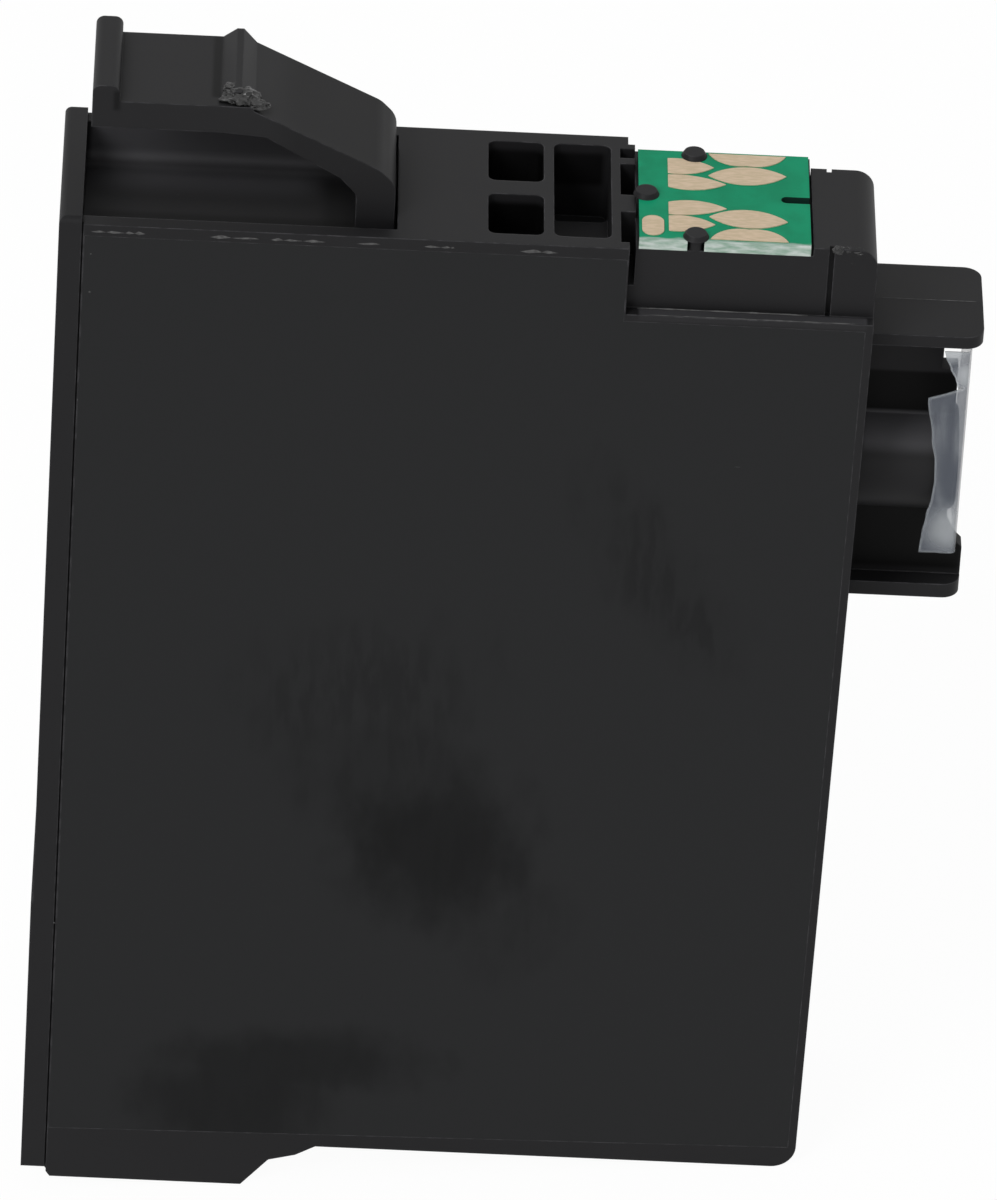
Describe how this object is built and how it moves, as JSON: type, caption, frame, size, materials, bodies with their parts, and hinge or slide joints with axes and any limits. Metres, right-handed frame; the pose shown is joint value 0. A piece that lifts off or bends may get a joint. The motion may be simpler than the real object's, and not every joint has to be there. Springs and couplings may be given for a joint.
{
  "type": "inkjet ink cartridge",
  "caption": "Slim upright ink cartridge with a sprung latch lever over a bay, a contact board on the front, and a film-covered ink outlet between guide plates.",
  "frame": {"origin": "middle of the box round the whole part, at the level of the foot's sole", "axes": "+X from the cartridge's own top end to its ink outlet, +Y from the broad side with the film to the covered one, +Z from the back edge up to the front face with latch and contacts"},
  "size_m": [0.0552, 0.0126, 0.0772],
  "materials": {
    "case_plastic": "satin",
    "dark_film": "satin",
    "clear_film": "translucent",
    "board_green": "satin",
    "contact_plating": "plated",
    "chip_resin": "satin",
    "seal_rubber": "matt",
    "valve_plastic": "satin",
    "spring_steel": "drawn wire",
    "white_membrane": "matt"
  },
  "bodies": {
    "cartridge": {"tank_case": "case_plastic", "side_cover": "case_plastic", "chamber_film": "clear_film", "side_film": "dark_film", "chip_board": "board_green", "contact_pads": "contact_plating", "memory_chip": "chip_resin", "outlet_seal": "seal_rubber", "outlet_spring": "spring_steel", "outlet_screen": "spring_steel", "outlet_film": "clear_film", "regulator_membrane": "seal_rubber", "regulator_spring": "spring_steel", "regulator_cover": "valve_plastic", "vent_membrane": "white_membrane", "fill_plug": "valve_plastic", "fill_film": "clear_film", "vent_film": "clear_film"},
    "latch": {"latch_lever": "case_plastic"},
    "valve": {"outlet_valve": "valve_plastic"}
  },
  "joints": [
    {"name": "latch_hinge", "type": "hinge", "parent": "cartridge", "child": "latch", "pos_m": [-0.00895, 0, 0.065], "axis": [0, -1, 0], "range_deg": [0, 8], "stiffness_Nm_per_rad": 0.5},
    {"name": "outlet_slide", "type": "slide", "parent": "cartridge", "child": "valve", "axis": [-1, 0, 0], "range_m": [0, 0.0015], "stiffness_N_per_m": 300, "springref_m": -0.001, "deforming": ["outlet_spring"]}
  ]
}
